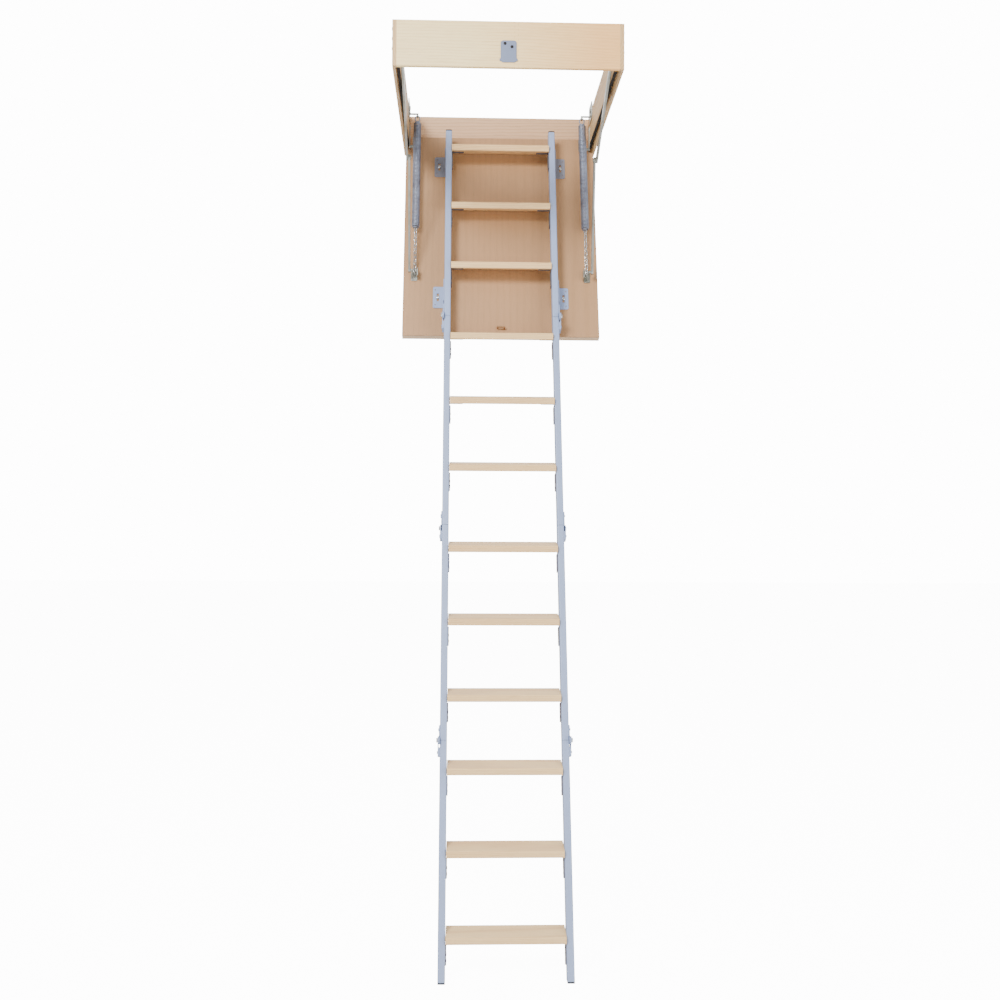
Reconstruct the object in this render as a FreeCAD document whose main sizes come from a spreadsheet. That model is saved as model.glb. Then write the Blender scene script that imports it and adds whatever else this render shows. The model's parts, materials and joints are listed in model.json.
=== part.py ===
"""Folding attic ladder: hatch frame, hinged lid and a four-section ladder, modelled open.

World frame: X across the hatch, Y from the front board to the rear board, Z up. The origin is
the middle of the hatch, in the plane of the ceiling.

Lid frame: the lid and the ladder are drawn in a frame that turns with the lid. Its X is the
world's, its Y stands off the lid towards the climber and its Z runs down the ladder. The lid
pin is its origin.
"""
import FreeCAD, Part
import math
import os
import re
from types import SimpleNamespace

DIMENSIONS = {
    # hatch frame
    "frame_width": 700, "frame_length": 850, "frame_height": 140, "board_thick": 20,
    "end_rebate": 7, "lid_rebate": 13, "rebate_height": 33, "front_rebate": 6,
    "seal_thick": 4.5, "seal_width": 9, "rear_seal": 6, "rear_seal_height": 18,
    "mount_hole": 3.5, "mount_spacing": 500, "mount_rise": 65, "mount_low": 50,
    "mount_middle": -50, "screw_radius": 2.5, "screw_head": 4.5, "screw_length": 45,
    # lid and its hinges
    "lid_width": 682, "lid_thick": 28, "skin_thick": 4, "batten_width": 55, "lid_gap": 2,
    "pin_inset": 42, "lid_tail": 30, "notch_width": 27, "notch_length": 55, "open_angle": 73,
    "pin_radius": 5, "pin_play": 0.05, "hinge_pin_length": 15.7, "hinge_thick": 3, "hinge_radius": 14,
    # ladder
    "length_one": 741, "length_two": 746, "length_three": 683, "length_four": 685,
    "first_one": 62, "first_two": 67, "first_three": 70, "first_four": 81,
    "ladder_width": 392, "tube_width": 22, "tube_depth": 40, "tube_wall": 1.5, "tube_round": 4,
    "front_plane": 82, "ladder_top": -12, "butt_gap": 1, "tread_pitch": 237.5,
    "tread_depth": 78, "tread_thick": 22, "tread_tilt": 9.7, "tread_nose": 16, "tread_play": 0.5,
    "tread_round": 3, "bracket_thick": 3, "bracket_leg": 43, "bracket_drop": 57,
    "bracket_depth": 22, "bracket_middle": 15, "plug_length": 40, "sole_thick": 5, "cap_thick": 5,
    # section joints
    "plate_thick": 3, "plate_gap": 0.3, "plate_length": 46, "plate_depth": 34,
    "pivot_offset": 2, "lobe_radius": 12, "pivot_bolt": 4, "bolt_head": 7, "head_thick": 4,
    # brackets that hold the top section to the lid
    "hold_length": 82, "hold_width": 40, "hold_height": 60, "hold_thick": 3,
    "hold_top": 56, "hold_bottom": 585, "slot_length": 30, "slot_width": 8,
    # stays and springs
    "stay_width": 20, "stay_thick": 7, "stay_plane": 322, "stay_gap": 0.4,
    "stay_pivot": 4, "stay_pin": 7,
    "spring_plane": 300, "spring_radius": 14, "spring_bore": 10.5, "spring_length": 438,
    "spring_start": 24, "eye_radius": 6.5, "wire_radius": 2.5, "chain_radius": 5,
    "anchor_down": 539, "anchor_rise": 38, "stay_rise": 52, "anchor_length": 46, "anchor_width": 22,
    # lock
    "lock_width": 48, "lock_height": 66, "lock_low": 15, "lock_thick": 2.5, "lock_round": 8,
    "hook_thick": 6, "hook_pin": 3, "case_width": 14, "case_height": 34,
}

doc = FreeCAD.newDocument("attic_ladder")
sheet = doc.addObject("Spreadsheet::Sheet", "dims")
for row, (word, number) in enumerate(DIMENSIONS.items(), start=1):
    sheet.set(f"A{row}", word)
    sheet.set(f"B{row}", str(number))
    sheet.setAlias(f"B{row}", word)
doc.recompute()
d = SimpleNamespace(**{word: float(sheet.get(word)) for word in DIMENSIONS})

ALIAS = re.compile(r"\b[a-z]+(?:_[a-z]+)+\b")
Vector, Placement, Rotation = FreeCAD.Vector, FreeCAD.Placement, FreeCAD.Rotation
X_AXIS, Y_AXIS, Z_AXIS = Vector(1, 0, 0), Vector(0, 1, 0), Vector(0, 0, 1)
ALONG_X, ALONG_Y, ALONG_Z = Rotation(Y_AXIS, 90), Rotation(X_AXIS, -90), Rotation()
SIDES = {"left": -1, "right": 1}
WORLD = Placement()
nodes = []

front = -d.frame_length / 2
rear = d.frame_length / 2
pin_y = rear - d.board_thick - d.pin_inset
pin_z = d.lid_thick / 2
LID = Placement(Vector(0, pin_y, pin_z), Rotation(X_AXIS, 90 + d.open_angle))
lid_face = d.lid_thick / 2
tube_back = d.front_plane - d.tube_depth
side_face = d.ladder_width / 2


# ---------------------------------------------------------------- building blocks
def bind(item, **sizes):
    """Ties each property of item to an expression of the sheet's aliases, or sets a number."""
    for prop, size in sizes.items():
        if isinstance(size, str):
            item.setExpression(prop, ALIAS.sub(lambda found: "dims." + found.group(0), size))
        else:
            setattr(item, prop, size)
    return item


def box(length, width, height, at=(0, 0, 0), turn=None):
    item = doc.addObject("Part::Box", "box")
    item.Placement = Placement(Vector(*at), turn or Rotation())
    return bind(item, Length=length, Width=width, Height=height)


def centred_box(length, width, height, at=(0, 0, 0)):
    """A box centred on X at the given place, rising along Y and Z from it."""
    item = box(length, width, height)
    doc.recompute()
    item.Placement.Base = Vector(at[0] - float(item.Length) / 2, at[1], at[2])
    return item


def rod(radius, length, at, turn=ALONG_Z):
    item = doc.addObject("Part::Cylinder", "rod")
    item.Placement = Placement(Vector(*at), turn)
    return bind(item, Radius=radius, Height=length)


def ring(radius, wire, at, turn=ALONG_Z):
    item = doc.addObject("Part::Torus", "ring")
    item.Placement = Placement(Vector(*at), turn)
    return bind(item, Radius1=radius, Radius2=wire)


def fuse(*shapes):
    item = doc.addObject("Part::MultiFuse", "fuse")
    item.Shapes = list(shapes)
    return item


def cut(base, *tools):
    item = doc.addObject("Part::Cut", "cut")
    item.Base = base
    item.Tool = tools[0] if len(tools) == 1 else fuse(*tools)
    return item


def group(*shapes):
    """Identical or paired pieces that share one node."""
    item = doc.addObject("Part::Compound", "group")
    item.Links = list(shapes)
    return item


def rounded(base, radius, wanted):
    """Fillets the edges of base that wanted(edge) picks."""
    doc.recompute()
    item = doc.addObject("Part::Fillet", "rounded")
    item.Base = base
    item.Edges = [(number, radius, radius)
                  for number, edge in enumerate(base.Shape.Edges, start=1) if wanted(edge)]
    return item


def runs_along(axis):
    """Picks the straight edges parallel to axis."""
    def wanted(edge):
        if not isinstance(edge.Curve, Part.Line):
            return False
        return abs(abs(edge.tangentAt(edge.FirstParameter).dot(axis)) - 1) < 1e-6
    return wanted


def node(label, item, frame=WORLD):
    """Names a finished sub-part and puts it in its frame."""
    item.Label = label
    item.Placement = frame.multiply(item.Placement)
    nodes.append(item)
    return item


def mirrored(make):
    """The left and the right piece that make(side) draws."""
    return [make(side) for side in SIDES.values()]


# ---------------------------------------------------------------- hatch frame
def frame_screw_places():
    """Each corner screw: side, the Y of its board's middle and its height."""
    for side in SIDES.values():
        for end in (-1, 1):
            for height in (55, 85, 115):
                yield side, end * (rear - d.board_thick / 2), height


def inward(side):
    """The turn that points a rod from a side board to the middle of the hatch."""
    return Rotation(Y_AXIS, -90 * side)


def screw_holes():
    return [rod("screw_radius", "screw_length + 1", (side * (d.frame_width / 2 + 0.5), y, z),
                inward(side)) for side, y, z in frame_screw_places()]


def mount_places():
    for along in (-1, 1):
        for height in (d.mount_low, d.mount_low + d.mount_rise):
            yield d.mount_middle + along * d.mount_spacing / 2, height


def side_board(side):
    outer = side * d.frame_width / 2
    inner = outer - side * d.board_thick
    low_x = min(outer, inner)
    board = box("board_thick", "frame_length", "frame_height", (low_x, front, 0))
    tools = []
    for end in (front, rear - d.board_thick):
        low = min(inner, inner + side * d.end_rebate)
        tools.append(box("end_rebate", "board_thick", "frame_height", (low, end, 0)))
    low = min(inner, inner + side * d.lid_rebate)
    tools.append(box("lid_rebate", "frame_length - 2 * board_thick + front_rebate",
                     "rebate_height", (low, front + d.board_thick - d.front_rebate, 0)))
    for y, z in mount_places():
        tools.append(rod("mount_hole", "board_thick + 2", (outer + side, y, z), inward(side)))
    return cut(board, *tools, *screw_holes())


def cross_board(label, y, rebate_y):
    """A front or rear board between the side boards; rebate_y is where its lid rebate starts."""
    board = centred_box("frame_width - 2 * board_thick + 2 * end_rebate", "board_thick",
                        "frame_height", (0, y, 0))
    tools = screw_holes()
    if rebate_y is not None:
        tools.append(centred_box("frame_width", "front_rebate", "rebate_height",
                                 (0, rebate_y, 0)))
        tools += [rod("screw_radius", "board_thick + 2", (x, front - 1, z), ALONG_Y)
                  for x, z in lock_screw_places()]
    return node(label, cut(board, *tools))


def lock_screw_places():
    return ((-11, 72), (10, 62))


def lid_seal():
    """Rubber strips on the ledges that the lid closes against, and one on the rear board."""
    inner = d.frame_width / 2 - d.board_thick
    top = "rebate_height - seal_thick"
    height = d.rebate_height - d.seal_thick
    start = front + d.board_thick
    strips = []
    for side in SIDES.values():
        low = min(side * (inner + 1.5), side * (inner + 1.5 + d.seal_width))
        strips.append(box("seal_width", "frame_length - 2 * board_thick", "seal_thick",
                          (low, start, height)))
    strips.append(centred_box("frame_width - 2 * board_thick", "front_rebate - 1",
                              "seal_thick", (0, start - d.front_rebate + 0.5, height)))
    strips.append(centred_box("frame_width - 2 * board_thick - 30", "rear_seal",
                              "rear_seal_height", (0, rear - d.board_thick - d.rear_seal, 4)))
    return node("lid_seal", group(*strips))


def frame_screws():
    screws = []
    for side, y, z in frame_screw_places():
        start = (side * d.frame_width / 2, y, z)
        shank = rod("screw_radius - 0.1", "screw_length", start, inward(side))
        head = rod("screw_head", "1.5", (start[0] + side * 1.5, y, z), inward(side))
        screws.append(fuse(shank, head))
    return node("frame_corner_screws", group(*screws))


def hinge_bracket(side):
    """Steel plate on a side board with the stub pin that carries the lid."""
    inner = side * (d.frame_width / 2 - d.board_thick)
    low = min(inner, inner - side * d.hinge_thick)
    plate = box("hinge_thick", "2 * hinge_radius", "95 - lid_thick / 2",
                (low, pin_y - d.hinge_radius, pin_z))
    eye = rod("hinge_radius", "hinge_thick", (inner, pin_y, pin_z), inward(side))
    pin = rod("pin_radius", "hinge_pin_length", (inner, pin_y, pin_z), inward(side))
    heads = [rod("screw_head", "hinge_thick + 1.5", (inner, pin_y, z), inward(side))
             for z in (48, 82)]
    return fuse(plate, eye, pin, *heads)


spring_eye_y = 345
spring_eye_z = 121


def spring_hanger(side):
    """Plate above the side board with the eye that the spring hangs from."""
    inner = side * (d.frame_width / 2 - d.board_thick)
    low = min(inner, inner - side * d.hinge_thick)
    plate = rounded(box("hinge_thick", "92", "64", (low, 262, 96)), 12, runs_along(X_AXIS))
    bolts = [rod("bolt_head", "hinge_thick + head_thick", (inner, y, z), inward(side))
             for y, z in ((280, 112), (300, 134))]
    arm = rod("wire_radius + 1", "frame_width / 2 - board_thick - spring_plane + wire_radius + 1",
              (inner, spring_eye_y, spring_eye_z + d.eye_radius), inward(side))
    eye = ring("eye_radius", "wire_radius", (side * d.spring_plane, spring_eye_y, spring_eye_z),
               ALONG_X)
    return fuse(plate, arm, eye, *bolts)


stay_y = -375
stay_z = 110
knee_y = 85
knee_z = -115


def stay_mount(side):
    """Washer and stud on a side board that the upper stay arm turns on."""
    inner = side * (d.frame_width / 2 - d.board_thick)
    washer = rod("stay_width / 2", "1", (inner, stay_y, stay_z), inward(side))
    stud = rod("stay_pivot - pin_play", "8", (inner, stay_y, stay_z), inward(side))
    return fuse(washer, stud)


def lock_plate():
    plate = centred_box("lock_width", "lock_thick", "lock_height",
                        (0, front - d.lock_thick, d.lock_low))
    ears = centred_box("lock_width + 6", "lock_thick", "7", (0, front - d.lock_thick, 19))
    shape = rounded(plate, d.lock_round, runs_along(Y_AXIS))
    holes = [rod("screw_radius", "lock_thick + 2", (x, front - d.lock_thick - 1, z), ALONG_Y)
             for x, z in lock_screw_places()]
    return node("lock_plate", cut(fuse(shape, ears), *holes))


def lock_bolts():
    bolts = []
    for x, z in lock_screw_places():
        shank = rod("screw_radius - 0.1", "board_thick + lock_thick",
                    (x, front - d.lock_thick, z), ALONG_Y)
        head = rod("screw_head", "2.5", (x, front - d.lock_thick - 2.5, z), ALONG_Y)
        bolts.append(fuse(shank, head))
    return node("lock_bolts", group(*bolts))


hook_y = front + d.board_thick + 15
hook_z = 50


def latch_case():
    """Back plate, two cheeks and the pin of the latch, on the inside of the front board."""
    inner = front + d.board_thick
    back = centred_box("2 * case_width", "3", "case_height", (0, inner, 34))
    cheeks = [box("3", "22", "case_height", (x, inner, 34)) for x in (-10, 7)]
    pin = rod("hook_pin", "2 * case_width - 2", (-d.case_width + 1, hook_y, hook_z), ALONG_X)
    return node("latch_case", fuse(back, *cheeks, pin))


def latch_hook():
    width = "hook_thick"
    arm = centred_box(width, "8", "22", (0, hook_y - 4, hook_z - 18))
    hub = rod("8", width, (-d.hook_thick / 2, hook_y, hook_z), ALONG_X)
    nose = centred_box(width, "16", "5", (0, hook_y - 4, hook_z - 18))
    bore = rod("hook_pin + pin_play", "hook_thick + 2", (-d.hook_thick / 2 - 1, hook_y, hook_z),
               ALONG_X)
    return node("latch_hook", cut(fuse(arm, hub, nose), bore))


# ---------------------------------------------------------------- lid
lid_end = pin_y - (front + d.board_thick - d.front_rebate + d.lid_gap)


def lid_layer(thick, low):
    """A sheet of the whole lid with its hinge notches, from low upwards in the lid frame."""
    layer = centred_box("lid_width", thick, lid_end + d.lid_tail, (0, low, -d.lid_tail))
    notches = []
    for side in SIDES.values():
        low_x = min(side * d.lid_width / 2, side * (d.lid_width / 2 - d.notch_width))
        notches.append(box("notch_width", "lid_thick + 2", "notch_length",
                           (low_x, -d.lid_thick / 2 - 1, -d.lid_tail)))
    return cut(layer, *notches)


def lid_window(low):
    """The space inside the battens, filled by the insulation."""
    return box("lid_width - 2 * batten_width", "lid_thick - 2 * skin_thick",
               lid_end + d.lid_tail - 2 * d.batten_width,
               (-d.lid_width / 2 + d.batten_width, low, d.batten_width - d.lid_tail))


def lid_core():
    low = -d.lid_thick / 2 + d.skin_thick
    layer = lid_layer("lid_thick - 2 * skin_thick", low)
    node("lid_battens", cut(layer, lid_window(low)), LID)
    node("lid_insulation", lid_window(low), LID)


def hinge_leaf(side):
    """Angle on the lid's corner with the eye that turns on the frame's stub pin."""
    wall = side * (d.lid_width / 2 - d.notch_width)
    low = min(wall, wall + side * d.hinge_thick)
    ear = box("hinge_thick", "lid_thick + hinge_thick", "notch_length - 4",
              (low, -d.lid_thick / 2, -d.lid_tail + 2))
    flange_low = min(wall + side * d.hinge_thick, wall - side * 26)
    flange = box("26 + hinge_thick", "hinge_thick", "notch_length - 4",
                 (flange_low, lid_face, -d.lid_tail + 2))
    heads = [rod("screw_head", "2", (wall - side * 14, lid_face + d.hinge_thick, s), ALONG_Y)
             for s in (-14, 8)]
    bore = rod("pin_radius + pin_play", "hinge_thick + 4", (wall - side * 2, 0, 0),
               inward(-side))
    return cut(fuse(ear, flange, *heads), bore)


def hold_bracket(side, down):
    """Angle that holds a stringer of the top section off the lid."""
    low = min(side * side_face, side * (side_face + d.hold_thick))
    leg = box("hold_thick", "hold_height", "hold_length", (low, lid_face, down))
    foot_low = min(side * side_face, side * (side_face + d.hold_width))
    foot = rounded(box("hold_width", "hold_thick", "hold_length", (foot_low, lid_face, down)),
                   6, runs_along(Y_AXIS))
    middle = side * (side_face + 0.58 * d.hold_width)
    slot_top = down + 0.5 * (d.hold_length - d.slot_length)
    slot = box("slot_width", "hold_thick + 2", "slot_length",
               (middle - d.slot_width / 2, lid_face - 1, slot_top))
    holes = [rod("2.2", "hold_thick + 2", (side * (side_face + d.hold_width - 8), lid_face - 1, s),
                 ALONG_Y) for s in (down + 12, down + d.hold_length - 12)]
    return cut(fuse(leg, foot), slot, *holes)


def hold_screws():
    screws = []
    for side in SIDES.values():
        x = side * (side_face + 0.58 * d.hold_width)
        for down in (d.hold_top, d.hold_bottom):
            head = rod("6", "3", (x, lid_face + d.hold_thick, down + d.hold_length / 2), ALONG_Y)
            shank = rod("2.5", "hold_thick + 0.5", (x, lid_face, down + d.hold_length / 2),
                        ALONG_Y)
            screws.append(fuse(head, shank))
    return node("lid_bracket_screws", group(*screws), LID)


def stay_anchor(side):
    """Angle on the lid with the ear that the spring chain and the stay meet at."""
    low = min(side * (d.spring_plane - 8), side * (d.spring_plane - 8 + d.anchor_width))
    start = d.anchor_down - d.anchor_length / 2
    foot = rounded(box("anchor_width", "3", "anchor_length", (low, lid_face, start)), 4,
                   runs_along(Y_AXIS))
    ear_low = min(side * (d.spring_plane - 8), side * (d.spring_plane - 11))
    ear = rounded(box("3", "34", "anchor_length - 14", (ear_low, lid_face, start + 7)), 8,
                  lambda edge: runs_along(X_AXIS)(edge) and edge.CenterOfMass.y > lid_face + 20)
    heads = [rod("4", "5", (side * (d.spring_plane + 4), lid_face, start + place), ALONG_Y)
             for place in (10, 34)]
    return fuse(foot, ear, *heads)


def latch_keeper():
    """Staple near the lid's front edge that the latch hook catches."""
    down = pin_y - front - d.board_thick - 25
    bar = rod("3", "30", (-15, 27, down), ALONG_X)
    legs = [rod("2.5", "13", (x, lid_face, down), ALONG_Y) for x in (-12, 12)]
    return node("latch_keeper", fuse(bar, *legs), LID)


# ---------------------------------------------------------------- ladder sections
SECTION_LENGTHS = (d.length_one, d.length_two, d.length_three, d.length_four)
FIRST_TREADS = (d.first_one, d.first_two, d.first_three, d.first_four)


def section_starts():
    """The height down the ladder where each section starts, and where the last one ends."""
    starts = [d.ladder_top]
    for length in SECTION_LENGTHS:
        starts.append(starts[-1] + length)
    return starts


starts = section_starts()
slope = math.radians(d.open_angle)
floor_z = pin_z - starts[-1] * math.sin(slope) + d.front_plane * math.cos(slope)
foot_y = pin_y - starts[-1] * math.cos(slope) - d.front_plane * math.sin(slope)


def below_level(level):
    """Everything under a level plane, drawn in the lid frame near the feet."""
    ground = box("ladder_width + 100", "300", "300")
    corner = Vector(-d.ladder_width / 2 - 50, foot_y - 150, level - 300)
    ground.Placement = LID.inverse().multiply(Placement(corner, Rotation()))
    return ground


def stringer(side, top, bottom, level=None):
    """A tube; where a level is given, its lower end is cut parallel to the floor there."""
    low = min(side * side_face, side * (side_face - d.tube_width))
    outer = box("tube_width", "tube_depth", bottom - top, (low, tube_back, top))
    inner = box("tube_width - 2 * tube_wall", "tube_depth - 2 * tube_wall", bottom - top + 2,
                (low + d.tube_wall, tube_back + d.tube_wall, top - 1))
    tools = [inner] if level is None else [inner, below_level(level)]
    return cut(rounded(outer, d.tube_round, runs_along(Z_AXIS)), *tools)


def tread_frame(down):
    """Frame of a tread: origin at its top front edge, Y to the back, Z up."""
    nose = Vector(0, d.front_plane + d.tread_nose * math.sin(slope),
                  down + d.tread_nose * math.cos(slope))
    return Placement(nose, Rotation(X_AXIS, d.tread_tilt - d.open_angle - 90))


def tread(down):
    inside = side_face - d.tube_width - d.tread_play
    board = box("ladder_width - 2 * tube_width - 2 * tread_play", "tread_depth", "tread_thick",
                (-inside, 0, -d.tread_thick))
    board = rounded(board, d.tread_round, runs_along(X_AXIS))
    board.Placement = tread_frame(down)
    return board


def tread_bracket(side, down):
    """Bent plate: one leg under the tread, one on the stringer's inner face."""
    inside = side * (side_face - d.tube_width)
    low = min(inside, inside - side * d.bracket_leg)
    shelf = box("bracket_leg", "bracket_depth", "bracket_thick",
                (low, 30, -d.tread_thick - d.bracket_thick))
    shelf.Placement = tread_frame(down).multiply(shelf.Placement)
    low = min(inside, inside - side * d.bracket_thick)
    middle = tube_back + d.bracket_middle
    leg = box("bracket_thick", "bracket_depth", "bracket_drop",
              (low, middle - d.bracket_depth / 2, down + 22))
    rivets = [rod("4", "0.8", (inside - side * d.bracket_thick, middle, down + place),
                  inward(side)) for place in (48, 66)]
    return fuse(shelf, leg, *rivets)


def joint_plate(side, down, pivot, below):
    """A pivot plate on a stringer's outer side: above the joint, or below and outboard of it."""
    direction = 1 if below else -1
    reach = d.plate_gap + d.plate_thick if below else 0
    inner = side * (side_face + reach)
    low = min(inner, inner + side * d.plate_thick)
    back = tube_back + (d.tube_depth - d.plate_depth) / 2
    first = down if below else down - d.plate_length
    web = box("plate_thick", "plate_depth", "plate_length", (low, back, first))
    lobe = rod("lobe_radius", "plate_thick", (inner, pivot, down), inward(-side))
    neck_low = min(pivot, tube_back + d.tube_depth / 2)
    neck = box("plate_thick", "tube_depth / 2 + pivot_offset", "lobe_radius",
               (low, neck_low, down if below else down - d.lobe_radius))
    pieces = [web, lobe, neck]
    if below:
        pad_low = min(side * side_face, side * (side_face + reach))
        pieces.append(box("plate_gap + plate_thick", "plate_depth", "plate_length - lobe_radius - 8",
                          (pad_low, back, down + d.lobe_radius + 8)))
    bore = rod("pivot_bolt + pin_play" if below else "pivot_bolt", "plate_thick + 2",
               (inner - side, pivot, down), inward(-side))
    rivet_base = inner + side * d.plate_thick
    rivets = [rod("3.5", "2.2", (rivet_base, tube_back + d.tube_depth / 2 + place,
                                 down + direction * 34), inward(-side)) for place in (-9, 9)]
    return cut(fuse(*pieces, *rivets), bore)


def joint_bolts(label, down, pivot):
    """One pivot bolt on each side of the ladder, held in the upper plate."""
    bolts = []
    for side in SIDES.values():
        shank = rod("pivot_bolt", "2 * plate_thick + 2 * plate_gap",
                    (side * side_face, pivot, down), inward(-side))
        outside = side * (side_face + 2 * d.plate_thick + 2 * d.plate_gap)
        head = rod("bolt_head", "head_thick", (outside, pivot, down), inward(-side))
        bolts.append(fuse(shank, head))
    return node(label, group(*bolts), LID)


def joint_pivot(number):
    """Distance off the lid of the pivot at the foot of section number."""
    if number == 2:
        return tube_back - d.pivot_offset
    return d.front_plane + d.pivot_offset


def section(number):
    top = starts[number - 1] + (0 if number == 1 else d.butt_gap / 2)
    bottom = starts[number] - (d.butt_gap / 2 if number < 4 else 0)
    level = floor_z + d.sole_thick if number == 4 else None
    for name, side in SIDES.items():
        node(f"stringer_{number}_{name}", stringer(side, top, bottom, level), LID)
    downs = [starts[number - 1] + FIRST_TREADS[number - 1] + step * d.tread_pitch
             for step in range(3)]
    for step, down in enumerate(downs):
        node(f"tread_{3 * (number - 1) + step + 1:02d}", tread(down), LID)
    brackets = [tread_bracket(side, down) for down in downs for side in SIDES.values()]
    node(f"tread_brackets_{number}", group(*brackets), LID)
    plates = []
    if number > 1:
        pivot = joint_pivot(number - 1)
        plates += mirrored(lambda side: joint_plate(side, starts[number - 1], pivot, True))
    if number < 4:
        pivot = joint_pivot(number)
        plates += mirrored(lambda side: joint_plate(side, starts[number], pivot, False))
        joint_bolts(f"joint_{number}_bolts", starts[number], pivot)
    node(f"joint_plates_{number}", group(*plates), LID)


def top_cap(side):
    low = min(side * side_face, side * (side_face - d.tube_width))
    lid_piece = rounded(box("tube_width", "tube_depth", "cap_thick",
                            (low, tube_back, d.ladder_top - d.cap_thick)), d.tube_round,
                        runs_along(Z_AXIS))
    plug = box("tube_width - 2 * tube_wall", "tube_depth - 2 * tube_wall", "14",
               (low + d.tube_wall, tube_back + d.tube_wall, d.ladder_top - 1))
    return fuse(lid_piece, plug)


def foot_shoe(side):
    """Rubber plug in a stringer's end, with a sole as wide as the tube that lies level."""
    low = min(side * side_face, side * (side_face - d.tube_width))
    top = starts[-1] - d.plug_length
    sole = rounded(box("tube_width", "tube_depth", "plug_length", (low, tube_back, top)),
                   d.tube_round, runs_along(Z_AXIS))
    above = box("ladder_width + 100", "300", "300")
    corner = Vector(-d.ladder_width / 2 - 50, foot_y - 150, floor_z + d.sole_thick)
    above.Placement = LID.inverse().multiply(Placement(corner, Rotation()))
    plug = box("tube_width - 2 * tube_wall", "tube_depth - 2 * tube_wall", "plug_length",
               (low + d.tube_wall, tube_back + d.tube_wall, top))
    return cut(fuse(cut(sole, above), plug), below_level(floor_z))


# ---------------------------------------------------------------- stays and springs
def world_of(stand_off, down):
    """World Y and Z of a point of the lid frame."""
    place = LID.multVec(Vector(0, stand_off, down))
    return place.y, place.z


anchor_y, anchor_z = world_of(d.anchor_rise, d.anchor_down)


def link(start, end, thick_from, side):
    """A flat bar in a plane of constant X between two points, with a bore at its start."""
    length = math.dist(start, end)
    turn = Rotation(X_AXIS, math.degrees(math.atan2(end[1] - start[1], end[0] - start[0])))
    inner = side * thick_from
    low = min(0, side * d.stay_thick)
    bar = box("stay_thick", length, "stay_width", (low, 0, -d.stay_width / 2))
    ends = [rod("stay_width / 2", "stay_thick", (0, y, 0), inward(-side)) for y in (0, length)]
    hole = rod("stay_pivot", "stay_thick + 2", (-side, 0, 0), inward(-side))
    shape = cut(fuse(bar, *ends), hole)
    shape.Placement = Placement(Vector(inner, *start), turn)
    return shape


def upper_stay(side):
    arm = link((stay_y, stay_z), (knee_y, knee_z), d.stay_plane, side)
    rivet = rod("stay_pivot - pin_play", "stay_thick + 2 * stay_gap",
                (side * d.stay_plane, knee_y, knee_z), inward(side))
    head_plane = d.stay_plane - 2 * d.stay_gap - d.stay_thick
    head = rod("bolt_head", "2", (side * head_plane, knee_y, knee_z), inward(side))
    return fuse(arm, rivet, head)


def lower_stay(side):
    plane = d.stay_plane - d.stay_gap - d.stay_thick
    end = world_of(d.stay_rise, d.anchor_down)
    arm = link((knee_y, knee_z), end, plane, side)
    pin = rod("stay_pivot", "stay_pin", (side * plane, *end), inward(side))
    return fuse(arm, pin)


spring_turn = Rotation(X_AXIS, math.degrees(math.atan2(anchor_z - spring_eye_z,
                                                       anchor_y - spring_eye_y)) - 90)
spring_reach = math.dist((spring_eye_y, spring_eye_z), (anchor_y, anchor_z))


def spring_frame(side):
    """Frame of a spring: origin at its eye, Z towards the anchor on the lid."""
    return Placement(Vector(side * d.spring_plane, spring_eye_y, spring_eye_z), spring_turn)


def spring(side):
    coil = cut(rod("spring_radius", "spring_length", (0, 0, d.spring_start)),
               rod("spring_bore", "spring_length + 2", (0, 0, d.spring_start + 7)))
    hook = rod("wire_radius", "9", (0, 0, d.spring_start - 8))
    coil = fuse(coil, hook)
    coil.Placement = spring_frame(side)
    return coil


def spring_chain(side):
    """Rod and end ring that slide out of the spring as the lid opens."""
    start = d.spring_start + d.spring_length - 24
    shank = rod("chain_radius", spring_reach - start - 8, (0, 0, start))
    seat = rod("8.5", "4", (0, 0, start - 2))
    shape = fuse(shank, seat, rod("wire_radius", "8", (0, 0, spring_reach - 9)))
    shape.Placement = spring_frame(side)
    return shape


# ---------------------------------------------------------------- the assembly
for name, side in SIDES.items():
    node(f"side_board_{name}", side_board(side))
cross_board("front_board", front, front + d.board_thick - d.front_rebate)
cross_board("rear_board", rear - d.board_thick, None)
lid_seal()
frame_screws()
node("hinge_brackets", group(*mirrored(hinge_bracket)))
node("spring_hangers", group(*mirrored(spring_hanger)))
node("stay_mounts", group(*mirrored(stay_mount)))
lock_plate()
lock_bolts()
latch_case()
latch_hook()

node("lid_lower_skin", lid_layer("skin_thick", -d.lid_thick / 2), LID)
node("lid_upper_skin", lid_layer("skin_thick", d.lid_thick / 2 - d.skin_thick), LID)
lid_core()
node("lid_hinge_leaves", group(*mirrored(hinge_leaf)), LID)
node("lid_brackets_upper", group(*mirrored(lambda side: hold_bracket(side, d.hold_top))), LID)
node("lid_brackets_lower", group(*mirrored(lambda side: hold_bracket(side, d.hold_bottom))), LID)
hold_screws()
node("lid_anchors", group(*mirrored(stay_anchor)), LID)
latch_keeper()

for number in range(1, 5):
    section(number)
node("top_caps", group(*mirrored(top_cap)), LID)
node("foot_shoes", group(*mirrored(foot_shoe)), LID)

node("upper_stays", group(*mirrored(upper_stay)))
node("lower_stays", group(*mirrored(lower_stay)))
node("springs", group(*mirrored(spring)))
node("spring_rods", group(*mirrored(spring_chain)))

doc.recompute()
for item in doc.Objects:
    if {"Invalid", "Error"} & set(item.State):
        raise RuntimeError(f"{item.Label} has state {item.State}")
os.makedirs("parts", exist_ok=True)
for item in nodes:
    if item.Shape.isNull() or not item.Shape.isValid():
        raise RuntimeError(f"{item.Label} has no valid shape")
    item.Shape.exportStep(f"parts/{item.Label}.step")
print(len(nodes), "nodes")
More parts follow.
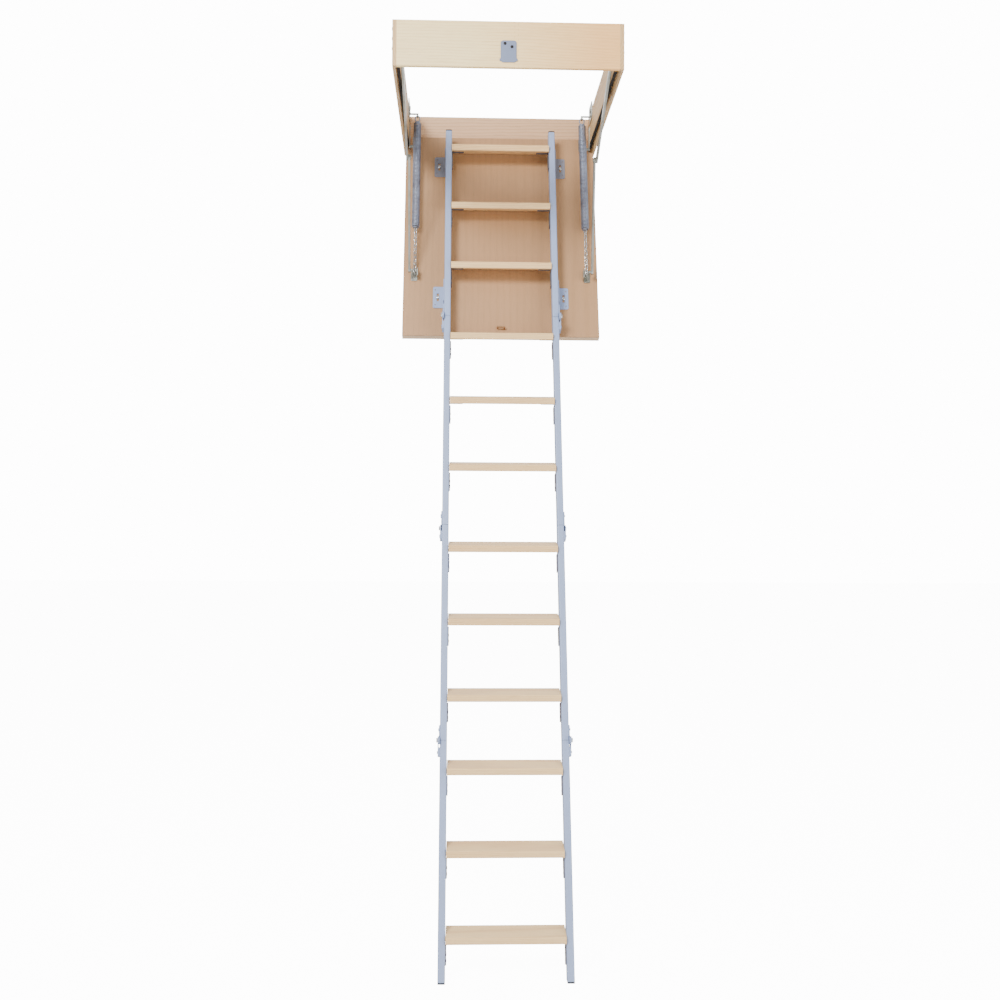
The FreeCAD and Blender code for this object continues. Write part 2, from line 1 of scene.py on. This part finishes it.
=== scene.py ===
# %% [markdown]
# # An attic ladder, hanging open
# The CAD model brings every rigid piece at its real size and place, already tied to the body it
# moves with. This lesson adds what a drawing leaves out: wood with grain that runs the way each
# board was sawn, powder coat, zinc, rubber, real wound springs and chain, and soft light.

# %% Load the frame and note its box
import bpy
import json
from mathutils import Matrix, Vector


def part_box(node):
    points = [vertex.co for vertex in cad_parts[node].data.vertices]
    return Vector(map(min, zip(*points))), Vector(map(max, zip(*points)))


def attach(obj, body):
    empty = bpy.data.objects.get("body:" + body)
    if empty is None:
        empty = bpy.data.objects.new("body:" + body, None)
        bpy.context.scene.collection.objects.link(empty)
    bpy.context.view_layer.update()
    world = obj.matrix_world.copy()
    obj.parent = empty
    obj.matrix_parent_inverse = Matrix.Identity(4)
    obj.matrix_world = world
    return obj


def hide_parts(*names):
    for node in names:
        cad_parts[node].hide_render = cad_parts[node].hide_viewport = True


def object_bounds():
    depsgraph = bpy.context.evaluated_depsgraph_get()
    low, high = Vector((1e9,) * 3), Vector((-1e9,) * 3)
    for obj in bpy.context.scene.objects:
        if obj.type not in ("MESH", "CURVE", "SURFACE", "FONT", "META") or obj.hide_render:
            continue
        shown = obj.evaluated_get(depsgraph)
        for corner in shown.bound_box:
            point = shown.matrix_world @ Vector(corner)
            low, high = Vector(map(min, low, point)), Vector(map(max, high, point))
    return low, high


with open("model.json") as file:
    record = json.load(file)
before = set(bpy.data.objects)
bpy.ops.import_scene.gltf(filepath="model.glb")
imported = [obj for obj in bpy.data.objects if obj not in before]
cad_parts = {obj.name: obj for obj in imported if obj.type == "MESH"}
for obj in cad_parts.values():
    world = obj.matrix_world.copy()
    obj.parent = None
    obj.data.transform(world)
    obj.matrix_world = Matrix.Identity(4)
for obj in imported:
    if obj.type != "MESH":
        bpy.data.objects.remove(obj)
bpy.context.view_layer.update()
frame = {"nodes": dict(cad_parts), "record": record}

import json
import math
import bmesh
import bpy
from mathutils import Matrix, Vector

NODES = frame["nodes"]
RECORD = frame["record"]
JOINTS = {joint["name"]: joint for joint in RECORD["behaviour"]["joints"]}
SLOT_OF = {part["node"]: part["material_slot"] for part in RECORD["subparts"]}


# %% [markdown]
# ## Which way is down the ladder?
# The lid and the ladder slope together, and their grain and screws follow that slope. It could be
# typed in, but a straight tube's box already holds it: the tube's length and depth, turned by the
# slope, make the box's height and run. So angles and lengths are tried until they give the box.

# %% The slope and its three directions
low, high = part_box("stringer_2_left")
TUBE_DEEP = 0.040
ANGLES = [math.radians(60 + step / 20) for step in range(500)]
LENGTHS = [0.70 + step / 1000 for step in range(80)]
rise, run = high[2] - low[2], high[1] - low[1]


def slope_error(angle, length):
    """How far a tube of this angle and length is from the box that was measured."""
    tall = length * math.sin(angle) + TUBE_DEEP * math.cos(angle)
    long = length * math.cos(angle) + TUBE_DEEP * math.sin(angle)
    return (tall - rise) ** 2 + (long - run) ** 2


SLOPE = min(ANGLES, key=lambda angle: min(slope_error(angle, length) for length in LENGTHS))
DOWN = Vector((0, -math.cos(SLOPE), -math.sin(SLOPE)))
OUT = Vector((0, -math.sin(SLOPE), math.cos(SLOPE)))
ACROSS = Vector((1, 0, 0))
print("slope", round(math.degrees(SLOPE), 2), "degrees")


# %% [markdown]
# ## Writing shaders as sums
# A material is easier to read as arithmetic than as wires. `Socket` wraps one output, and an
# operator on it adds a Math node. `Tree.node` makes any other node: its type, its settings,
# then what goes into its sockets. Colours are mixed with Mix nodes, since Math would grey them.

# %% A socket that can be used in sums
class Socket:
    """One output of a shader node; arithmetic on it adds Math nodes."""

    def __init__(self, tree, socket):
        self.tree = tree
        self.socket = socket

    def math(self, operation, *values):
        sockets = dict(enumerate(values))
        return self.tree.node("ShaderNodeMath", {"operation": operation}, sockets)

    def __add__(self, other):
        return self.math("ADD", self, other)

    def __sub__(self, other):
        return self.math("SUBTRACT", self, other)

    def __rsub__(self, other):
        return self.math("SUBTRACT", other, self)

    def __mul__(self, other):
        return self.math("MULTIPLY", self, other)

    def __truediv__(self, other):
        return self.math("DIVIDE", self, other)

    def __pow__(self, other):
        return self.math("POWER", self, other)

    def __gt__(self, other):
        return self.math("GREATER_THAN", self, other)

    __radd__ = __add__
    __rmul__ = __mul__

    def sine(self):
        return self.math("SINE", self)

    def clamped(self):
        return self.remapped(0, 1, 0, 1)

    def remapped(self, from_low, from_high, to_low, to_high):
        """Maps one range to another and clamps it there."""
        return self.tree.node("ShaderNodeMapRange", {"clamp": True},
                              {"Value": self, "From Min": from_low, "From Max": from_high,
                               "To Min": to_low, "To Max": to_high})


print("sockets can be used in sums")


# %% A node tree that hands out sockets
class Tree:
    """A node tree, built a node at a time."""

    def __init__(self, owner):
        owner.use_nodes = True
        self.graph = owner.node_tree

    def feed(self, socket, value):
        """Links a socket, or sets it to a number or a colour."""
        if isinstance(value, Socket):
            self.graph.links.new(value.socket, socket)
        else:
            socket.default_value = value

    def node(self, kind, settings=None, sockets=None, output=0):
        """Any node: its type, its settings, what its sockets get, and which output is wanted."""
        node = self.graph.nodes.new(kind)
        for word, value in (settings or {}).items():
            setattr(node, word, value)
        for key, value in (sockets or {}).items():
            self.feed(node.inputs[key], value)
        return Socket(self, node.outputs[output])


print("node trees can be built")


# %% A material with its usual nodes
class Shader(Tree):
    """A material with one Principled shader."""

    def __init__(self, name, **constants):
        self.material = bpy.data.materials.new(name)
        super().__init__(self.material)
        self.surface = self.graph.nodes["Principled BSDF"]
        for word, value in constants.items():
            self.surface.inputs[word.replace("_", " ")].default_value = value

    def place(self):
        """Position on the piece, in metres, which moves with it."""
        return self.node("ShaderNodeTexCoord", output="Object")

    def along(self, direction, place):
        return self.node("ShaderNodeVectorMath", {"operation": "DOT_PRODUCT"},
                         {0: place, 1: tuple(direction)}, output="Value")

    def join(self, x, y, z):
        return self.node("ShaderNodeCombineXYZ", sockets={0: x, 1: y, 2: z})

    def noise(self, place, scale, detail=3.0, rough=0.5):
        return self.node("ShaderNodeTexNoise", sockets={"Vector": place, "Scale": scale,
                                                        "Detail": detail, "Roughness": rough})

    def mix(self, share, first, second, blend="MIX"):
        return self.node("ShaderNodeMix", {"data_type": "RGBA", "blend_type": blend},
                         {0: share, 6: first, 7: second}, output=2)

    def paint(self, word, value):
        """Gives one of the surface's sockets a value or a link."""
        self.feed(self.surface.inputs[word], value)

    def painted(self, word):
        """What one of the surface's sockets is linked to."""
        return Socket(self, self.surface.inputs[word].links[0].from_socket)

    def bump(self, height, distance, strength=0.5):
        bumped = self.node("ShaderNodeBump", sockets={"Strength": strength,
                                                      "Distance": distance, "Height": height})
        self.paint("Normal", bumped)


def tint(red, green, blue):
    """A display colour, 0 to 1, as the linear colour that a shader works in."""
    def linear(part):
        return part / 12.92 if part <= 0.04045 else ((part + 0.055) / 1.055) ** 2.4
    return linear(red), linear(green), linear(blue), 1.0


def shaded(colour, share):
    """A colour taken towards black; share is what is left of it."""
    return tuple(part * share for part in colour[:3]) + (1.0,)


print("shader helpers ready")


# %% [markdown]
# ## Wood
# A flat-sawn board shows growth rings cut lengthwise: broad pale bands with thin darker late
# wood, drawn out along the grain, plus short dark fibres. The rings are distances from a pith
# line that lies outside the board, bent by slow noise, and the fibres are noise stretched
# along the grain. An image of wood would repeat and need unwrapping. This is worked out from
# each point's place on the piece, so the grain runs through every face and edge alike.

# %% Wood for any grain direction
RING_GAP = 0.0075
RING_WANDER = 5
PITH_DRIFT = (0.06, 0.05)
FIBRE_STRETCH, FIBRE_SCALE = 0.02, 900
GRAIN_DEEP = 0.0002


def wood_shader(name, pale, late, grain, across, stand, pith=(0.11, 0.23), figure=0.6,
                fleck=0.35, rough=0.55, ring_gap=RING_GAP):
    """Wood with its grain along one direction; across and stand are the other two."""
    shader = Shader(name)
    place = shader.place()
    length, width, depth = (shader.along(way, place) for way in (grain, across, stand))
    slow = shader.join(width * 3, depth * 3, length * 0.6)
    drift = shader.noise(slow, 2.2, detail=2.0)
    wide = width - pith[0] + (drift - 0.5) * PITH_DRIFT[0]
    deep = depth - pith[1] + (shader.noise(slow, 1.1, detail=1.0) - 0.5) * PITH_DRIFT[1]
    radius = (wide * wide + deep * deep) ** 0.5
    wave = (radius * (2 * math.pi / ring_gap) + drift * RING_WANDER).sine() * 0.5 + 0.5
    rings = wave ** 3
    fibres = shader.noise(shader.join(width, depth, length * FIBRE_STRETCH), FIBRE_SCALE,
                          detail=2.0, rough=0.6)
    blotch = shader.noise(shader.join(width, depth, length * 0.25), 6, detail=3.0)
    pores = fibres.remapped(0.52, 0.72, 0, 1)
    body = shader.mix((rings * figure).clamped(), pale, late)
    toned = shader.mix(blotch.remapped(0.35, 0.75, 0, 0.35), body, late)
    shader.paint("Base Color", shader.mix(pores * fleck, toned, shaded(late, 0.55)))
    shader.paint("Roughness", rough - rings * 0.08 + (blotch - 0.5) * 0.1)
    shader.bump(fibres * 0.5 + rings * 0.4, GRAIN_DEEP, 0.35)
    return shader


def wood(name, pale, late, **figure):
    return wood_shader(name, pale, late, **figure).material


# %% The woods of this ladder
SIDE_WAYS = {"grain": (0, 1, 0), "across": (0, 0, 1), "stand": (1, 0, 0)}
CROSS_WAYS = {"grain": (1, 0, 0), "across": (0, 0, 1), "stand": (0, 1, 0)}
TREAD_WAYS = {"grain": (1, 0, 0), "across": (0, 1, 0), "stand": (0, 0, 1)}
LID_WAYS = {"grain": DOWN, "across": ACROSS, "stand": OUT}
side_wood = wood("side_board_wood", tint(0.80, 0.66, 0.46), tint(0.66, 0.50, 0.31), **SIDE_WAYS)
rear_wood = wood("rear_board_wood", tint(0.83, 0.67, 0.51), tint(0.74, 0.56, 0.40),
                 pith=(0.3, 0.2), **CROSS_WAYS)
tread_wood = wood("tread_pine", tint(0.93, 0.79, 0.57), tint(0.80, 0.60, 0.37),
                  figure=0.42, pith=(-0.9, 0.35), ring_gap=0.0052, **TREAD_WAYS)
lid_wood = wood("lid_veneer", tint(0.67, 0.51, 0.355), tint(0.59, 0.44, 0.29), figure=0.2,
                fleck=0.25, rough=0.5, ring_gap=0.016, pith=(0.5, 0.3), **LID_WAYS)
core_wood = wood("lid_batten_wood", tint(0.80, 0.69, 0.56), tint(0.68, 0.55, 0.42), **LID_WAYS)
print("five woods")


# %% [markdown]
# ## The front board
# This board is glued up from lengths with a finger joint near its middle, and its tone shifts
# from cream at the left to a pinker tan at the right. The seam is a thin dark line that steps
# from side to side, drawn from the board's own place: a square wave moves the line along X.

# %% Front board with its finger joint
PINK_FROM, PINK_WIDE = -0.12, 0.4
FINGER_HIGH, FINGER_LONG = 0.008, 0.011
SEAM_X, SEAM_HALF, SEAM_SHARE = 0.018, 0.0006, 0.55


def front_board_wood():
    shader = wood_shader("front_board_wood", tint(0.97, 0.88, 0.67), tint(0.88, 0.73, 0.48),
                         figure=0.3, pith=(0.35, -0.3), ring_gap=0.009, **CROSS_WAYS)
    place = shader.place()
    x, z = shader.along((1, 0, 0), place), shader.along((0, 0, 1), place)
    pink = ((x - PINK_FROM) / PINK_WIDE).clamped()
    warm = shader.mix(pink, tint(1.0, 0.99, 0.95), tint(0.96, 0.83, 0.70))
    toned = shader.mix(1.0, shader.painted("Base Color"), warm, blend="MULTIPLY")
    finger = ((z * (math.pi / FINGER_HIGH)).sine() > 0.0) * FINGER_LONG
    seam = x - SEAM_X - finger
    line = (seam * seam).remapped(0.0, SEAM_HALF ** 2, SEAM_SHARE, 0.0)
    shader.paint("Base Color", shader.mix(line, toned, tint(0.60, 0.47, 0.34)))
    return shader.material


front_wood = front_board_wood()
print("front board ready")


# %% [markdown]
# ## Coated and plated steel
# Powder coat has a fine orange-peel skin and a soft sheen. Zinc plate is greyer, with faint
# clouds where the bath left more or less metal. Both are one function each, told their colour.

# %% Powder coat and zinc
PEEL_SCALE, PEEL_DEEP = 900, 0.0001
SCRATCH_SCALE, SCRATCH_DEEP = 160, 0.00005
DUST = tint(0.35, 0.33, 0.30)


def powder_coat(name, base, rough=0.38, speck=0.05):
    shader = Shader(name, Specular_IOR_Level=0.5)
    place = shader.place()
    peel = shader.noise(place, PEEL_SCALE, detail=2.0)
    cloud = shader.noise(place, 9, detail=3.0)
    dust = shader.noise(place, 60, detail=4.0, rough=0.7)
    toned = shader.mix(cloud.remapped(0.35, 0.7, 0, 0.5), base, shaded(base, 0.86))
    shader.paint("Base Color", shader.mix(dust.remapped(0.62, 0.75, 0, speck), toned, DUST))
    shader.paint("Roughness", rough + (cloud - 0.5) * 0.12)
    shader.bump(peel, PEEL_DEEP, 0.25)
    return shader.material


def plated(name, base, warm, rough=0.34, metal=1.0):
    shader = Shader(name, Metallic=metal)
    place = shader.place()
    cloud = shader.noise(place, 24, detail=4.0, rough=0.6)
    x, y, z = (shader.along(way, place) for way in ((1, 0, 0), (0, 1, 0), (0, 0, 1)))
    scratch = shader.noise(shader.join(x * 6, y * 6, z * 0.8), SCRATCH_SCALE, detail=2.0)
    shader.paint("Base Color", shader.mix(cloud.remapped(0.4, 0.7, 0, 1), base, warm))
    shader.paint("Roughness", rough + (cloud - 0.5) * 0.25 + (scratch - 0.5) * 0.12)
    shader.bump(scratch, SCRATCH_DEEP, 0.2)
    return shader.material


# %% The steels of this ladder
light_coat = powder_coat("light_coat", tint(0.57, 0.63, 0.76))
mid_coat = powder_coat("mid_coat", tint(0.46, 0.46, 0.50))
dark_coat = powder_coat("dark_coat", tint(0.36, 0.34, 0.35), rough=0.45)
lock_coat = powder_coat("lock_coat", tint(0.44, 0.48, 0.58), rough=0.4)
zinc = plated("zinc", tint(0.68, 0.69, 0.67), tint(0.56, 0.56, 0.50))
bright_zinc = plated("bright_zinc", tint(0.82, 0.82, 0.82), tint(0.70, 0.70, 0.68), rough=0.25)
dark_screw = plated("dark_screw", tint(0.26, 0.24, 0.23), tint(0.16, 0.15, 0.15), rough=0.4)
wire = plated("spring_wire", tint(0.60, 0.63, 0.70), tint(0.48, 0.50, 0.56), rough=0.38,
              metal=0.6)
keeper_bronze = plated("keeper_bronze", tint(0.62, 0.48, 0.34), tint(0.52, 0.40, 0.28),
                       metal=0.5)
print("nine finishes of steel")


# %% [markdown]
# ## Rubber, plastic and foam
# The seal and the foot plugs are rubber, nearly black and matt with a fine pebble. The caps are
# smoother plastic, and the foam inside the lid is white with closed cells. One function makes
# all four, because they differ only in colour, gloss and the size of their pebble.

# %% Moulded materials
def moulded(name, base, rough, grain, depth):
    shader = Shader(name, Specular_IOR_Level=0.4)
    place = shader.place()
    pebble = shader.noise(place, grain, detail=2.0)
    cloud = shader.noise(place, 20, detail=3.0)
    worn = tuple(min(1.0, part * 1.5 + 0.01) for part in base[:3]) + (1.0,)
    shader.paint("Base Color", shader.mix(cloud.remapped(0.45, 0.8, 0, 0.5), base, worn))
    shader.paint("Roughness", rough + (cloud - 0.5) * 0.15)
    shader.bump(pebble, depth, 0.4)
    return shader.material


seal_rubber = moulded("seal_rubber", tint(0.13, 0.13, 0.13), 0.75, 500, 0.0002)
shoe_rubber = moulded("shoe_rubber", tint(0.17, 0.17, 0.18), 0.7, 350, 0.0003)
cap_plastic = moulded("cap_plastic", tint(0.20, 0.20, 0.22), 0.5, 600, 0.0001)
foam = moulded("foam", tint(0.93, 0.93, 0.91), 0.9, 250, 0.0004)
print("four moulded materials")


# %% [markdown]
# ## Dress the CAD pieces
# Each piece's slot in the record names its finish. A few pieces differ from their slot: the
# front and rear boards, whose grain runs across the hatch, the bronze keeper, and the plates and
# bolts at the folds, which match the ladder's light coat and its bright bolts.

# %% Give every piece its material
FINISH = {
    "frame_wood": side_wood, "rubber_seal": seal_rubber, "dark_fixings": dark_screw,
    "zinc_steel": zinc, "lock_grey": lock_coat, "lid_panel": lid_wood,
    "lid_core_wood": core_wood, "insulation": foam, "light_coated_steel": light_coat,
    "grey_coated_steel": mid_coat, "dark_coated_steel": dark_coat, "tread_wood": tread_wood,
    "dark_rubber": shoe_rubber, "dark_plastic": cap_plastic, "spring_steel": wire,
    "bright_steel": bright_zinc,
}
OWN_FINISH = {"front_board": front_wood, "rear_board": rear_wood, "latch_keeper": keeper_bronze}
for number in range(1, 5):
    OWN_FINISH[f"joint_plates_{number}"] = light_coat
    OWN_FINISH[f"joint_{number}_bolts"] = bright_zinc
for name, piece in NODES.items():
    material = OWN_FINISH.get(name, FINISH[SLOT_OF[name]])
    piece.data.materials.clear()
    piece.data.materials.append(material)
print("dressed", len(NODES), "pieces")


# %% [markdown]
# ## Wound springs
# Each spring is a coil, stretched a little, with a long loop at its top that hangs in the frame's
# eye. A plain tube would show no turns, so the wire is swept along a helix. The spring's line
# runs from the swivel on the frame along the direction in which its rod slides.

# %% Helpers for swept wire
def new_piece(name, mesh, material, body):
    """A mesh as a named piece with its material, riding on a body."""
    piece = bpy.data.objects.new(name, mesh)
    bpy.context.scene.collection.objects.link(piece)
    mesh.materials.append(material)
    for face in mesh.polygons:
        face.use_smooth = True
    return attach(piece, body)


def sweep(work, path, radius, sides=8, closed=False):
    """Adds a round wire along a list of points to a bmesh."""
    rings = []
    count = len(path)
    side = None
    for index, point in enumerate(path):
        before = path[index - 1] if closed or index else point
        after = path[(index + 1) % count] if closed or index < count - 1 else point
        ahead = (after - before).normalized()
        side = (ahead.orthogonal() if side is None else side - ahead * side.dot(ahead))
        side.normalize()
        other = ahead.cross(side)
        ring = []
        for corner in range(sides):
            angle = 2 * math.pi * corner / sides
            ring.append(work.verts.new(point + radius * (side * math.cos(angle)
                                                         + other * math.sin(angle))))
        rings.append(ring)
    pairs = list(zip(rings, rings[1:])) + ([(rings[-1], rings[0])] if closed else [])
    for first, second in pairs:
        for corner in range(sides):
            following = (corner + 1) % sides
            work.faces.new((first[corner], first[following], second[following], second[corner]))
    if not closed:
        work.faces.new(reversed(rings[0]))
        work.faces.new(rings[-1])


def as_mesh(name, work):
    """Turns a bmesh into a mesh with its faces outwards."""
    bmesh.ops.recalc_face_normals(work, faces=work.faces)
    mesh = bpy.data.meshes.new(name)
    work.to_mesh(mesh)
    work.free()
    return mesh


print("wire helpers ready")


# %% The line of each spring
EYE = Vector(JOINTS["spring_swivel"]["pos_m"])
PULL = Vector(JOINTS["spring_extension"]["axis"]).normalized()
CROSSWISE = ACROSS.cross(PULL)
COIL_RADIUS = 0.014
SPRING_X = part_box("springs")[1][0] - COIL_RADIUS


def spring_point(side, down, away=0.0, angle=0.0):
    """A point of a spring: down its line, and away from the line at an angle."""
    start = Vector((side * SPRING_X, EYE.y, EYE.z))
    return start + PULL * down + (ACROSS * math.cos(angle) + CROSSWISE * math.sin(angle)) * away


print("springs hang", round(SPRING_X, 4), "m either side of the middle")


# %% The springs
WIRE, TURN_GAP = 0.0020, 0.0016
PITCH = 2 * WIRE + TURN_GAP
COIL_START, COIL_END = 0.026, 0.462
COIL_STEPS, HOOK_STEPS = 14, 32
CLOSING_TURNS, END_WIDTH, LAST_TURN = 1.5, 0.55, 0.25
HOOK_LONG, HOOK_WIDE = 0.0135, 0.0085


def coil_path(side):
    """The helix; it narrows towards both ends, less at the lower one."""
    turns = (COIL_END - COIL_START) / PITCH
    mean = COIL_RADIUS - WIRE
    points = []
    for step in range(int(turns * COIL_STEPS) + 1):
        turn = step / COIL_STEPS
        full = min(1.0, turn / CLOSING_TURNS, (turns - turn) / CLOSING_TURNS + LAST_TURN)
        away = mean * (END_WIDTH + (1 - END_WIDTH) * full)
        points.append(spring_point(side, COIL_START + turn * PITCH, away, 2 * math.pi * turn))
    return points


def hook_path(side):
    """The long loop above the coil; its top lies on the swivel's axis, inside the frame's eye."""
    return [spring_point(side, HOOK_LONG * (1 - math.cos(angle)), HOOK_WIDE * math.sin(angle))
            for angle in (2 * math.pi * step / HOOK_STEPS for step in range(HOOK_STEPS))]


work = bmesh.new()
for side in (-1, 1):
    sweep(work, coil_path(side), WIRE, sides=6)
    sweep(work, hook_path(side), WIRE, closed=True)
coils = new_piece("wound_springs", as_mesh("wound_springs", work), wire, "spring_coils")
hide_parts("springs")
print("spring faces", len(coils.data.polygons))


# %% [markdown]
# ## Chain under the springs
# A short welded chain joins each spring to the lid, so the pull can be set link by link. A link
# is a stadium-shaped loop of wire, and each next one is turned a quarter.

# %% The chains
LINKS, LINK_STEPS = 15, 24
LINK_PITCH, LINK_WIDE, LINK_WIRE = 0.0150, 0.0052, 0.0017
LAST_LINK_UP = 0.006
reach = (Vector(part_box("spring_rods")[0]) - EYE).dot(PULL)


def link_path(side, down, turned):
    """One loop centred down the line, its flat in one of two planes."""
    straight = LINK_PITCH / 2 - LINK_WIDE + LINK_WIRE
    points = []
    for step in range(LINK_STEPS):
        angle = 2 * math.pi * step / LINK_STEPS
        offset = math.copysign(straight, math.cos(angle)) + LINK_WIDE * math.cos(angle)
        points.append(spring_point(side, down + offset, LINK_WIDE * math.sin(angle),
                                   math.pi / 4 + (math.pi / 2 if turned else 0)))
    return points


work = bmesh.new()
for side in (-1, 1):
    for index in range(LINKS):
        middle = reach - LAST_LINK_UP - index * LINK_PITCH
        sweep(work, link_path(side, middle, index % 2), LINK_WIRE, closed=True)
chain = new_piece("lid_chains", as_mesh("lid_chains", work), bright_zinc, "spring_pull_rods")
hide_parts("spring_rods")
print("chain reach", round(reach, 4))


# %% [markdown]
# ## Screws with a driver's cross
# The lid brackets and the lock plate are held by pan-head screws. A plain disc has no place for
# a driver, so each head is a small height field: a dome, with a cross pressed into its middle.

# %% A pan head with a cross recess
CROSS_ARM, CROSS_REACH = 0.13, 0.62


def head_height(u, v, radius, height, deep):
    """Height of a pan head at a point of its disc: a dome less the pressed cross."""
    away = math.hypot(u, v) / radius
    dome = height * math.sqrt(max(0.0, 1 - away ** 4))
    arm, tip = CROSS_ARM * radius, CROSS_REACH * radius
    in_cross = (abs(u) < arm and abs(v) < tip) or (abs(v) < arm and abs(u) < tip)
    return dome - (deep if in_cross else 0.0)


def pan_head(work, centre, normal, up, radius, height, deep, rings=14, spokes=48):
    """Adds one screw head that stands on the plane through centre."""
    side = up.cross(normal)
    rows = []
    for ring in range(1, rings + 1):
        away = radius * ring / rings
        row = []
        for spoke in range(spokes):
            angle = 2 * math.pi * spoke / spokes
            u, v = away * math.cos(angle), away * math.sin(angle)
            lift = head_height(u, v, radius, height, deep) if ring < rings else 0.0
            row.append(work.verts.new(centre + side * u + up * v + normal * lift))
        rows.append(row)
    middle = work.verts.new(centre + normal * head_height(0, 0, radius, height, deep))
    for spoke in range(spokes):
        following = (spoke + 1) % spokes
        work.faces.new((middle, rows[0][spoke], rows[0][following]))
        for inner, outer in zip(rows, rows[1:]):
            work.faces.new((inner[spoke], outer[spoke], outer[following], inner[following]))
    work.faces.new(list(reversed(rows[-1])))


print("pan head ready")


# %% Where the CAD screws are
WELD = 1e-6


def loose_parts(name):
    """The points of each separate solid of a CAD node."""
    work = bmesh.new()
    work.from_mesh(NODES[name].data)
    bmesh.ops.remove_doubles(work, verts=work.verts, dist=WELD)
    left = set(work.verts)
    parts = []
    while left:
        stack, part = [left.pop()], []
        while stack:
            vert = stack.pop()
            part.append(vert.co.copy())
            for edge in vert.link_edges:
                other = edge.other_vert(vert)
                if other in left:
                    left.remove(other)
                    stack.append(other)
        parts.append(part)
    work.free()
    return parts


bracket_screws, lock_screws = loose_parts("lid_bracket_screws"), loose_parts("lock_bolts")
print("screws", len(bracket_screws), "and", len(lock_screws))


# %% Heads on the lid brackets
BRACKET_HEAD, BRACKET_HIGH, BRACKET_CROSS = 0.0062, 0.0032, 0.0016
work = bmesh.new()
for part in bracket_screws:
    highest = max(point.dot(OUT) for point in part)
    centre = sum(part, Vector()) / len(part)
    seat = centre + OUT * (highest - BRACKET_HIGH - centre.dot(OUT))
    pan_head(work, seat, OUT, -DOWN, BRACKET_HEAD, BRACKET_HIGH, BRACKET_CROSS)
heads = new_piece("bracket_screw_heads", as_mesh("bracket_screw_heads", work), bright_zinc, "lid")
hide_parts("lid_bracket_screws")
print("bracket screw heads", len(heads.data.polygons), "faces")


# %% Heads on the lock plate
LOCK_HEAD, LOCK_HIGH, LOCK_CROSS = 0.0046, 0.0024, 0.0013
END_FACE = 0.0003
FRONT, UP = Vector((0, -1, 0)), Vector((0, 0, 1))
work = bmesh.new()
for part in lock_screws:
    farthest = max(point.dot(FRONT) for point in part)
    end_face = [point for point in part if point.dot(FRONT) > farthest - END_FACE]
    centre = sum(end_face, Vector()) / len(end_face)
    pan_head(work, centre - FRONT * LOCK_HIGH, FRONT, UP, LOCK_HEAD, LOCK_HIGH, LOCK_CROSS)
lock_heads = new_piece("lock_screw_heads", as_mesh("lock_screw_heads", work), dark_screw,
                       "hatch_frame")
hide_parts("lock_bolts")
print("lock screw heads", len(lock_heads.data.polygons), "faces")


# %% [markdown]
# ## Floor and sky
# The ladder stands on a pale floor in a white room. A floor and a sky bright enough to look white
# would wash the wood out, so both look brighter to the camera than they light the room: the
# Light Path node tells a ray from the camera from a ray that carries light.

# %% The room
FLOOR_SIZE, FLOOR_SEEN = 60, 12.0
SKY_LIGHT, SKY_SEEN = 0.95, 14.0
WHITE = (1, 1, 1, 1)
floor_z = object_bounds()[0][2]
bpy.ops.mesh.primitive_plane_add(size=FLOOR_SIZE, location=(0, 0, floor_z))
floor = bpy.context.object
floor.name = "floor"
floor_shader = Shader("floor_white", Roughness=0.9, Specular_IOR_Level=0.1)
floor_shader.paint("Base Color", tint(0.97, 0.97, 0.97))
floor_shader.paint("Emission Color", WHITE)
seen = floor_shader.node("ShaderNodeLightPath", output="Is Camera Ray")
floor_shader.paint("Emission Strength", seen * FLOOR_SEEN)
floor.data.materials.append(floor_shader.material)

world = bpy.data.worlds.new("white_room")
bpy.context.scene.world = world
sky = Tree(world)
background = sky.graph.nodes["Background"]
seen = sky.node("ShaderNodeLightPath", output="Is Camera Ray")
sky.feed(background.inputs["Strength"], seen.remapped(0, 1, SKY_LIGHT, SKY_SEEN))
sky.feed(background.inputs["Color"], WHITE)
print("floor at", round(floor_z, 4))


# %% [markdown]
# ## Lights
# One large soft light from the front left gives form, a weaker one from the right opens the
# shadows, and one behind the hatch lifts the edges. Area lights are used because a small lamp
# would throw hard shadows of every tread.

# %% Three soft lights
def soft_light(name, place, target, size, power):
    """A square area light at one place, aimed at another."""
    lamp = bpy.data.lights.new(name, "AREA")
    lamp.size = size
    lamp.energy = power
    holder = bpy.data.objects.new(name, lamp)
    bpy.context.scene.collection.objects.link(holder)
    holder.location = place
    aim = Vector(target) - Vector(place)
    holder.rotation_euler = aim.to_track_quat("-Z", "Y").to_euler()


soft_light("key", (-2.2, -4.6, 1.9), (0, -0.2, -0.9), 1.6, 430)
soft_light("fill", (3.4, -3.6, -0.9), (0, -0.2, -1.2), 3.0, 110)
soft_light("back", (0.6, 4.0, 1.5), (0, 0, -1.0), 3.0, 60)
print("three lights")


# %% [markdown]
# ## Camera
# The camera stands in front of the ladder at about half its height, a little to the left, and
# looks slightly up. It is turned in three steps, tilt, turn and roll, because a camera
# that is aimed at a point can't lean.

# %% The camera
LENS, SENSOR = 43.03, 36.0
CAMERA_PLACE = (-0.1432, -3.9757, -1.4123)
YAW, PITCH_UP, ROLL = 0.0347, 0.031, 0.0045
camera_data = bpy.data.cameras.new("camera")
camera_data.lens = LENS
camera_data.sensor_width = SENSOR
camera = bpy.data.objects.new("camera", camera_data)
bpy.context.scene.collection.objects.link(camera)
camera.location = CAMERA_PLACE
turn = (Matrix.Rotation(-YAW, 3, "Z") @ Matrix.Rotation(math.pi / 2 + PITCH_UP, 3, "X")
        @ Matrix.Rotation(ROLL, 3, "Z"))
camera.rotation_euler = turn.to_euler()
bpy.context.scene.camera = camera
print("camera at", tuple(camera.location))
